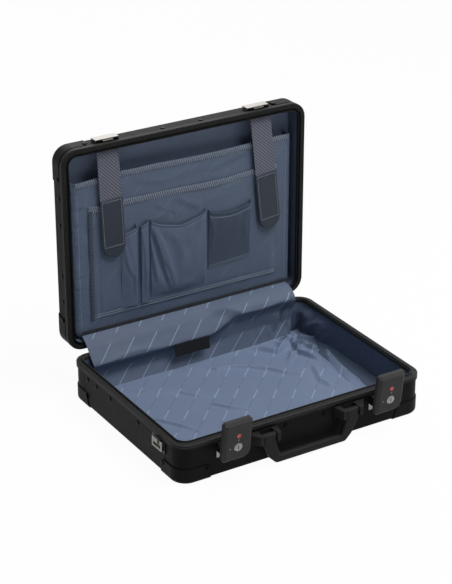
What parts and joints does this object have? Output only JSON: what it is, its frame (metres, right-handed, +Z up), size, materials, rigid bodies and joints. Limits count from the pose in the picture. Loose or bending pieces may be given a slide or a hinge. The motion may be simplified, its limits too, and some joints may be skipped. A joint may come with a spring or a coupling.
{
  "type": "attache case",
  "caption": "Hard black attache case standing open: hinged lid with organiser pockets and straps, lined base, swing-out key locks, folding carrying handle, side strap loops.",
  "frame": {"origin": "on the floor under the middle of the open case's bounding box", "axes": "+X along the width, +Y from the handle to the hinge, +Z up"},
  "size_m": [0.4466, 0.4072, 0.4084],
  "materials": {
    "shell_black": "black anodised aluminium, satin",
    "cap_black": "black, satin, lightly textured",
    "rim_black": "black anodised extrusion, finely fluted",
    "rivet_black": "black, semi-gloss domes",
    "chrome": "polished",
    "pivot_steel": "turned steel",
    "hinge_steel": "black, satin",
    "lock_black": "black, satin, fine grain",
    "lamp_red": "glossy red",
    "handle_black": "black moulded, fine grain",
    "lining_light": "steel-blue lining cloth with pale dashes, slightly shiny",
    "lining_dark": "dark navy lining cloth",
    "pocket_cloth": "slate-blue lining cloth, slightly shiny, sewn hems",
    "webbing": "grey twill webbing",
    "tab_leather": "black leather, pale stitching, bare",
    "label_black": "black woven label, bare",
    "seal_rubber": "black, matte"
  },
  "bodies": {
    "base": {"base_back_wall": "shell_black", "base_corner_caps": "cap_black", "base_floor_lining": "lining_light", "base_front_wall": "shell_black", "base_left_panel": "shell_black", "base_panel": "shell_black", "base_right_panel": "shell_black", "base_rim": "rim_black", "base_rivets": "rivet_black", "base_wall_lining": "lining_dark", "handle_pins": "pivot_steel", "hinge_base_leaf": "hinge_steel", "hinge_gusset": "lining_light", "hinge_pin": "hinge_steel", "left_handle_bracket": "handle_black", "left_latch_bracket": "chrome", "left_latch_pivots": "pivot_steel", "left_loop_plate": "chrome", "lining_label": "label_black", "right_handle_bracket": "handle_black", "right_latch_bracket": "chrome", "right_latch_pivots": "pivot_steel", "right_loop_plate": "chrome"},
    "lid": {"card_pocket": "pocket_cloth", "document_pocket": "pocket_cloth", "file_pocket": "pocket_cloth", "hinge_lid_leaf": "hinge_steel", "left_catch": "chrome", "lid_back_wall": "shell_black", "lid_corner_caps": "cap_black", "lid_front_wall": "shell_black", "lid_left_panel": "shell_black", "lid_lining": "lining_dark", "lid_panel": "shell_black", "lid_right_panel": "shell_black", "lid_rim": "rim_black", "lid_rivets": "rivet_black", "lid_seal": "seal_rubber", "lid_wall_lining": "lining_dark", "notebook_pocket": "pocket_cloth", "pen_pockets": "pocket_cloth", "right_catch": "chrome"},
    "handle": {"handle": "handle_black"},
    "left_bail": {"left_latch_bail": "chrome"},
    "left_lock": {"left_lock_plate": "lock_black", "left_lock_cylinder": "chrome", "left_lock_lamp": "lamp_red"},
    "left_plug": {"left_lock_plug": "pivot_steel"},
    "left_loop": {"left_strap_loop": "chrome"},
    "left_strap": {"left_strap": "webbing", "left_strap_tab": "tab_leather"},
    "right_bail": {"right_latch_bail": "chrome"},
    "right_lock": {"right_lock_plate": "lock_black", "right_lock_cylinder": "chrome", "right_lock_lamp": "lamp_red"},
    "right_plug": {"right_lock_plug": "pivot_steel"},
    "right_loop": {"right_strap_loop": "chrome"},
    "right_strap": {"right_strap": "webbing", "right_strap_tab": "tab_leather"}
  },
  "joints": [
    {"name": "lid_hinge", "type": "hinge", "parent": "base", "child": "lid", "pos_m": [0, 0.16663, 0.066], "axis": [1, 0, 0], "range_deg": [0, 90], "deforming": ["hinge_gusset"]},
    {"name": "handle_swing", "type": "hinge", "parent": "base", "child": "handle", "pos_m": [0, -0.18427, 0.0485], "axis": [-1, 0, 0], "range_deg": [-8, 95]},
    {"name": "left_bail_swing", "type": "hinge", "parent": "base", "child": "left_bail", "pos_m": [-0.13478, -0.17677, 0.0535], "axis": [-1, 0, 0], "range_deg": [-60, 30]},
    {"name": "left_lock_tilt", "type": "hinge", "parent": "left_bail", "child": "left_lock", "pos_m": [-0.13478, -0.19063, 0.0455], "axis": [-1, 0, 0], "range_deg": [-33.75, 67.5]},
    {"name": "left_key_turn", "type": "hinge", "parent": "left_lock", "child": "left_plug", "pos_m": [-0.13478, -0.19856, 0.05747], "axis": [0, -0.9914, -0.1305], "range_deg": [0, 90]},
    {"name": "right_bail_swing", "type": "hinge", "parent": "base", "child": "right_bail", "pos_m": [0.13478, -0.17677, 0.0535], "axis": [-1, 0, 0], "range_deg": [-60, 30]},
    {"name": "right_lock_tilt", "type": "hinge", "parent": "right_bail", "child": "right_lock", "pos_m": [0.13478, -0.19063, 0.0455], "axis": [-1, 0, 0], "range_deg": [-33.75, 67.5]},
    {"name": "right_key_turn", "type": "hinge", "parent": "right_lock", "child": "right_plug", "pos_m": [0.13478, -0.19856, 0.05747], "axis": [0, -0.9914, -0.1305], "range_deg": [0, 90]},
    {"name": "left_loop_swing", "type": "hinge", "parent": "base", "child": "left_loop", "pos_m": [-0.2199, -0.11285, 0.0535], "axis": [0, 1, 0], "range_deg": [0, 95]},
    {"name": "left_strap_lift", "type": "hinge", "parent": "lid", "child": "left_strap", "pos_m": [-0.13694, 0.17288, 0.3916], "axis": [-1, 0, 0], "range_deg": [0, 16]},
    {"name": "right_loop_swing", "type": "hinge", "parent": "base", "child": "right_loop", "pos_m": [0.2199, -0.11285, 0.0535], "axis": [0, -1, 0], "range_deg": [0, 95]},
    {"name": "right_strap_lift", "type": "hinge", "parent": "lid", "child": "right_strap", "pos_m": [0.13694, 0.17288, 0.3916], "axis": [-1, 0, 0], "range_deg": [0, 16]}
  ],
  "couplings": [
    {"joint": "left_lock_tilt", "follows": "left_bail_swing", "ratio": -1.125},
    {"joint": "right_lock_tilt", "follows": "right_bail_swing", "ratio": -1.125}
  ]
}
